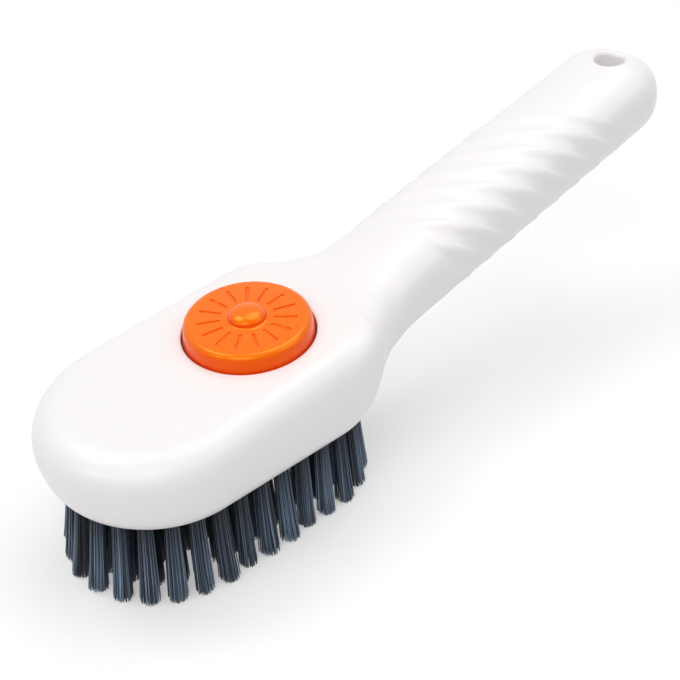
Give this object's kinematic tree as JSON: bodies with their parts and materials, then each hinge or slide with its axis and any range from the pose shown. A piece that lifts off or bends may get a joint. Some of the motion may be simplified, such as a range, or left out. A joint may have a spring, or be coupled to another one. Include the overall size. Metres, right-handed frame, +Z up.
{
  "type": "shoe cleaning brush",
  "caption": "Shoe cleaning brush with a thick hollow handle, tufted bristles under its head and a press button that opens a spring-closed soap valve among the bristles.",
  "frame": {"origin": "under the middle of the brush's overall box, on the surface that the bristle tips stand on", "axes": "+X from the nose to the handle's end, +Y to the left when looking from the nose to the handle's end, +Z up out of the button's side of the head"},
  "size_m": [0.2266, 0.0596, 0.0799],
  "materials": {
    "white_shell": "smooth gloss moulding",
    "orange_button": "smooth gloss moulding",
    "slate_bristles": "drawn nylon strands",
    "natural_plastic": "unpainted moulding",
    "seal_rubber": "matt",
    "spring_steel": "drawn wire"
  },
  "bodies": {
    "body": {"body_shell": "white_shell", "filler_collar": "natural_plastic", "bristle_plate": "natural_plastic", "plate_gasket": "seal_rubber", "outer_front_tufts": "slate_bristles", "outer_back_tufts": "slate_bristles", "middle_tufts": "slate_bristles", "inner_tufts": "slate_bristles", "valve_seat": "natural_plastic", "poppet_spring": "spring_steel"},
    "cartridge": {"guide_sleeve": "natural_plastic", "snap_ring": "natural_plastic", "cartridge_seal": "seal_rubber", "stem_seal": "seal_rubber", "seal_retainer": "spring_steel", "return_spring": "spring_steel"},
    "button": {"button_cap": "orange_button", "plunger_stem": "natural_plastic"},
    "valve": {"valve_poppet": "natural_plastic", "poppet_seal": "seal_rubber"}
  },
  "joints": [
    {"name": "cartridge_turn", "type": "hinge", "parent": "body", "child": "cartridge", "pos_m": [-0.051, 0, 0.05013], "axis": [-0.0837, 0, 0.9965], "range_deg": [0, 40]},
    {"name": "button_press", "type": "slide", "parent": "cartridge", "child": "button", "axis": [0.0837, 0, -0.9965], "range_m": [0, 0.003], "stiffness_N_per_m": 800, "springref_m": -0.002, "deforming": ["return_spring"]},
    {"name": "valve_open", "type": "slide", "parent": "body", "child": "valve", "axis": [0, 0, -1], "range_m": [0, 0.003], "deforming": ["poppet_spring"]}
  ],
  "couplings": [
    {"joint": "valve_open", "follows": "button_press", "ratio": 0.99649}
  ]
}
